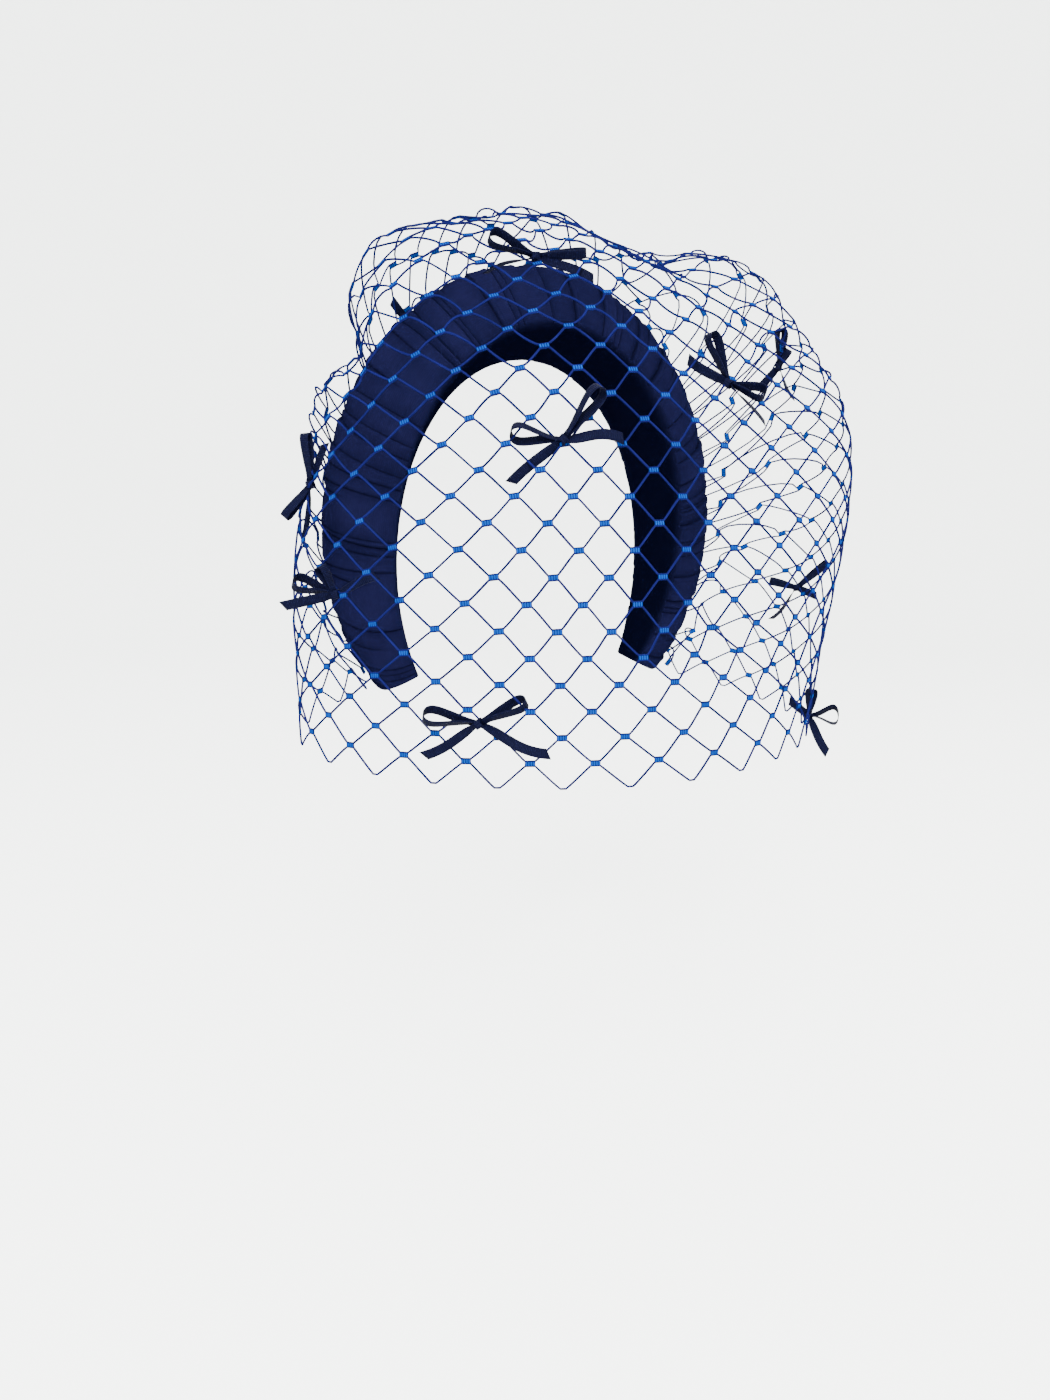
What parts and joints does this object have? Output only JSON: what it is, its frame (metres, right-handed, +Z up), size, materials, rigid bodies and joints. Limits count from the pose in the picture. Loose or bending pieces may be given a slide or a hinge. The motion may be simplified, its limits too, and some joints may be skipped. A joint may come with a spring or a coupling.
{
  "type": "veiled padded headband",
  "caption": "Padded halo headband in ruched navy cloth with a gathered blue diamond-mesh face veil and small ribbon bows.",
  "frame": {"origin": "middle of the band's underside, where it rests on the crown of the wearer's head", "axes": "+Z up out of the crown, -Y the way the wearer faces, -X the wearer's right"},
  "size_m": [0.2916, 0.1719, 0.2586],
  "materials": {
    "navy_band_cloth": "smooth woven cloth in ruched cross folds",
    "blue_veil_thread": "fine thread with wound knots",
    "navy_ribbon": "narrow ribbed ribbon"
  },
  "bodies": {
    "root": {"padded_band": "navy_band_cloth", "veil_net": "blue_veil_thread", "bow_crown": "navy_ribbon", "bow_brow": "navy_ribbon", "bow_left_temple": "navy_ribbon", "bow_left_puff": "navy_ribbon", "bow_right_cheek": "navy_ribbon", "bow_right_temple": "navy_ribbon", "bow_right_side": "navy_ribbon", "bow_left_side": "navy_ribbon", "bow_left_hem": "navy_ribbon", "bow_back": "navy_ribbon"}
  },
  "joints": []
}
